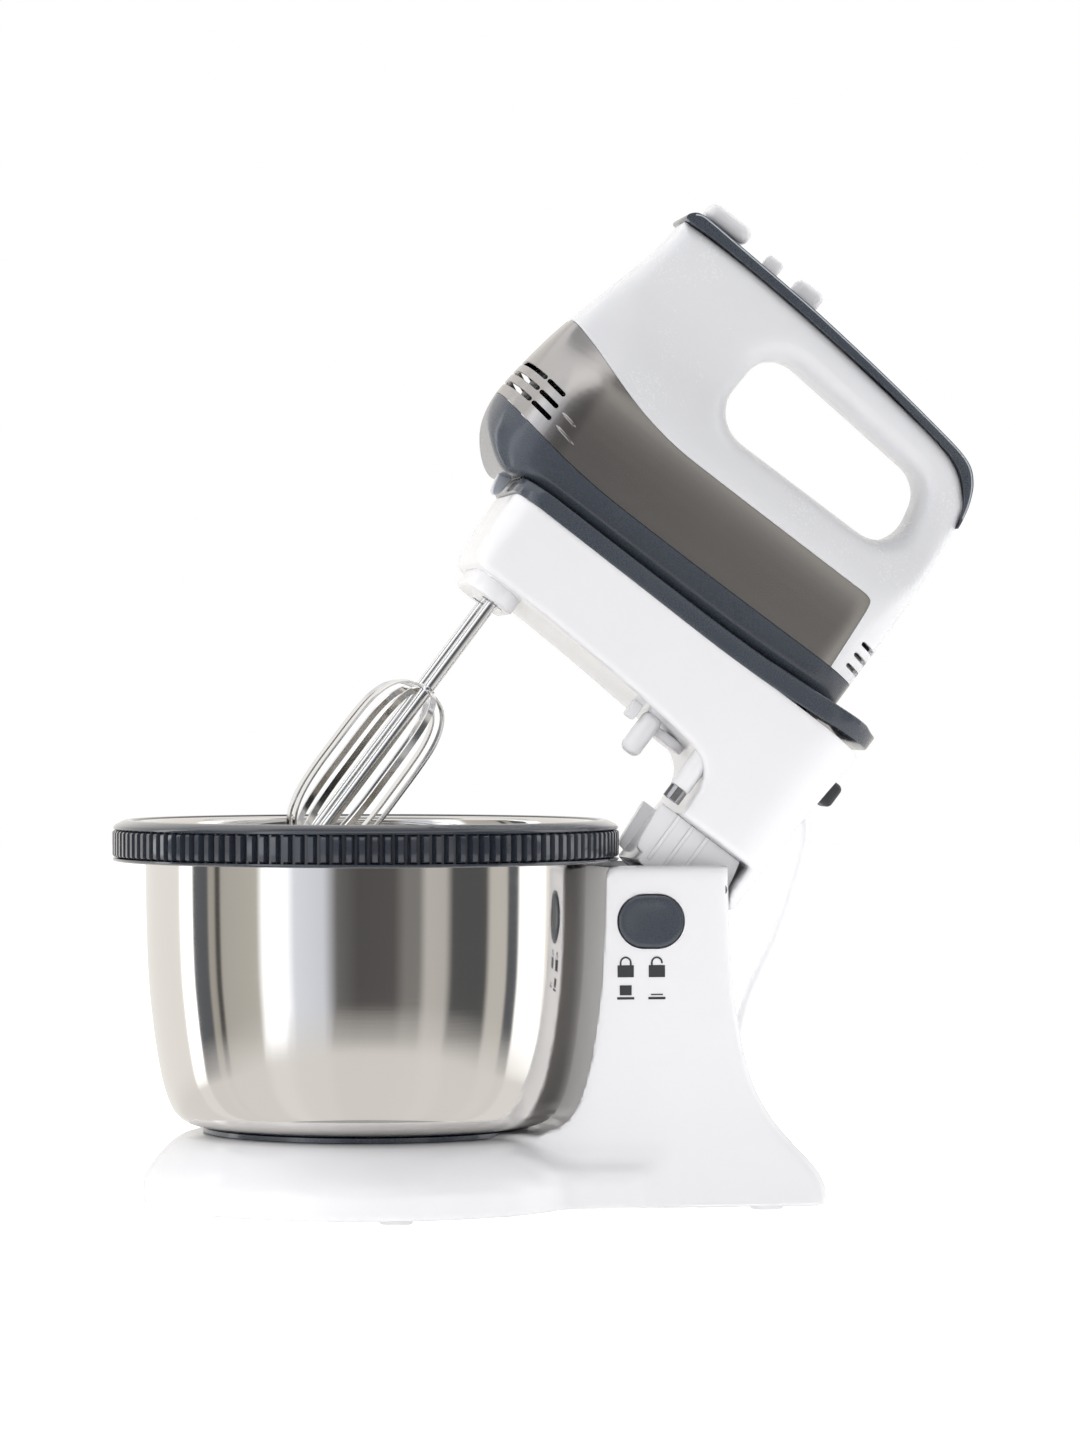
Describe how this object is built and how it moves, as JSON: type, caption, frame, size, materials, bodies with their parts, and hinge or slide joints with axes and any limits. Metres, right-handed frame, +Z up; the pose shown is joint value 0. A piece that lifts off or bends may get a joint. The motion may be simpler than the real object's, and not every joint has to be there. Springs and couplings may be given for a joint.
{
  "type": "hand mixer on bowl stand",
  "caption": "Hand mixer docked on a tilting head over a turning steel bowl with a toothed ring, on a white stand with a tower; head tilted open, two beaters fitted.",
  "frame": {"origin": "on the table plane, on the axis of the bowl and its turntable", "axes": "+X from the bowl towards the tower and hinge, +Y to the far side where the cord hangs, +Z up"},
  "size_m": [0.3929, 0.2765, 0.4585],
  "materials": {
    "white_plastic": "gloss",
    "slate_plastic": "satin gloss",
    "brushed_band": "brushed",
    "polished_steel": "polished",
    "steel_parts": "machined",
    "dark_plastic": "matte",
    "rubber_feet": "matte",
    "copper_wire": "enamelled",
    "white_cord": "soft satin"
  },
  "bodies": {
    "base": {"stand_shell": "white_plastic", "base_plate": "white_plastic", "base_feet": "rubber_feet", "base_screws": "steel_parts", "turntable_spindle": "polished_steel", "hinge_pin": "polished_steel", "release_spring": "steel_parts", "spring_bracket": "dark_plastic", "cord_tube": "white_cord", "cord_coil": "white_cord", "plug": "white_cord"},
    "turntable": {"turntable": "slate_plastic"},
    "bowl": {"bowl": "polished_steel", "bowl_ring": "slate_plastic"},
    "release": {"release_button": "slate_plastic", "latch_bar": "dark_plastic"},
    "head": {"carrier_shell": "white_plastic", "carrier_trim": "slate_plastic", "beater_collar": "white_plastic", "hinge_tongue": "white_plastic", "guide_finger": "white_plastic", "drive_housing": "white_plastic", "gear_plate": "dark_plastic", "spring_rib": "white_plastic", "mixer_release_spring": "steel_parts", "carrier_screws": "steel_parts"},
    "bowl_drive": {"drive_shaft": "steel_parts"},
    "drive_input": {"input_gear": "white_plastic"},
    "mixer_release": {"mixer_release_button": "dark_plastic"},
    "mixer": {"body_left": "white_plastic", "body_right": "white_plastic", "steel_band": "brushed_band", "lower_body": "slate_plastic", "handle_trim": "slate_plastic", "eject_spring": "steel_parts", "turbo_spring": "steel_parts", "motor_stator": "steel_parts", "motor_coils": "copper_wire", "brush_holders": "dark_plastic", "gearbox_frame": "steel_parts", "rear_bracket": "steel_parts", "circuit_board": "dark_plastic", "body_screws": "steel_parts", "strain_relief": "white_cord"},
    "eject": {"eject_button": "white_plastic"},
    "speed": {"speed_slider": "white_plastic"},
    "turbo": {"turbo_button": "white_plastic"},
    "motor": {"motor_rotor": "steel_parts", "motor_worms": "dark_plastic", "motor_fan": "dark_plastic"},
    "spindle_l": {"spindle_left": "dark_plastic"},
    "spindle_r": {"spindle_right": "dark_plastic"},
    "aux": {"aux_spindle": "dark_plastic"},
    "beater_l": {"beater_left": "polished_steel"},
    "beater_r": {"beater_right": "polished_steel"}
  },
  "joints": [
    {"name": "head_tilt", "type": "hinge", "parent": "base", "child": "head", "pos_m": [0.156, 0, 0.1447], "axis": [0, -1, 0], "range_deg": [0, 37]},
    {"name": "bowl_turn", "type": "hinge", "parent": "base", "child": "turntable", "pos_m": [0, 0, 0.0355], "axis": [0, 0, 1], "continuous": true},
    {"name": "bowl_lift", "type": "slide", "parent": "turntable", "child": "bowl", "axis": [0, 0, 1], "range_m": [0, 0.008]},
    {"name": "head_release", "type": "slide", "parent": "base", "child": "release", "axis": [0, 1, 0], "range_m": [0, 0.0035], "stiffness_N_per_m": 700, "springref_m": -0.001, "deforming": ["release_spring"]},
    {"name": "mixer_lift", "type": "slide", "parent": "head", "child": "mixer", "axis": [0.6018, 0, 0.7986], "range_m": [0, 0.045]},
    {"name": "mixer_catch", "type": "slide", "parent": "head", "child": "mixer_release", "axis": [-0.7986, 0, 0.6018], "range_m": [0, 0.002], "stiffness_N_per_m": 900, "springref_m": -0.001, "deforming": ["mixer_release_spring"]},
    {"name": "drive_input_spin", "type": "hinge", "parent": "head", "child": "drive_input", "pos_m": [0.16016, -0.0165, 0.22333], "axis": [0.6018, 0, 0.7986], "continuous": true},
    {"name": "bowl_drive_spin", "type": "hinge", "parent": "head", "child": "bowl_drive", "pos_m": [0.14402, -0.0364, 0.19793], "axis": [0.6018, 0, 0.7986], "continuous": true},
    {"name": "eject_push", "type": "slide", "parent": "mixer", "child": "eject", "axis": [-0.6018, 0, -0.7986], "range_m": [0, 0.006], "stiffness_N_per_m": 900, "springref_m": -0.004, "deforming": ["eject_spring"]},
    {"name": "speed_slide", "type": "slide", "parent": "mixer", "child": "speed", "axis": [0, 1, 0], "range_m": [0, 0.016]},
    {"name": "turbo_push", "type": "slide", "parent": "mixer", "child": "turbo", "axis": [-0.6018, 0, -0.7986], "range_m": [0, 0.0025], "stiffness_N_per_m": 800, "springref_m": -0.001, "deforming": ["turbo_spring"]},
    {"name": "motor_spin", "type": "hinge", "parent": "mixer", "child": "motor", "pos_m": [0.14675, 0, 0.30856], "axis": [0.7986, 0, -0.6018], "continuous": true},
    {"name": "spindle_left_spin", "type": "hinge", "parent": "mixer", "child": "spindle_l", "pos_m": [0.08717, 0.0165, 0.3159], "axis": [0.6018, 0, 0.7986], "continuous": true},
    {"name": "spindle_right_spin", "type": "hinge", "parent": "mixer", "child": "spindle_r", "pos_m": [0.08717, -0.0165, 0.3159], "axis": [0.6018, 0, 0.7986], "continuous": true},
    {"name": "aux_spin", "type": "hinge", "parent": "mixer", "child": "aux", "pos_m": [0.18724, -0.0165, 0.25927], "axis": [0.6018, 0, 0.7986], "continuous": true},
    {"name": "beater_left_eject", "type": "slide", "parent": "spindle_l", "child": "beater_l", "axis": [-0.6018, 0, -0.7986], "range_m": [0, 0.006]},
    {"name": "beater_right_eject", "type": "slide", "parent": "spindle_r", "child": "beater_r", "axis": [-0.6018, 0, -0.7986], "range_m": [0, 0.006]}
  ],
  "couplings": [
    {"joint": "spindle_left_spin", "follows": "motor_spin", "ratio": -0.055556},
    {"joint": "spindle_right_spin", "follows": "motor_spin", "ratio": 0.055556},
    {"joint": "aux_spin", "follows": "motor_spin", "ratio": 0.055556},
    {"joint": "drive_input_spin", "follows": "motor_spin", "ratio": 0.055556},
    {"joint": "bowl_drive_spin", "follows": "motor_spin", "ratio": -0.21528},
    {"joint": "beater_left_eject", "follows": "eject_push", "ratio": 1},
    {"joint": "beater_right_eject", "follows": "eject_push", "ratio": 1}
  ]
}
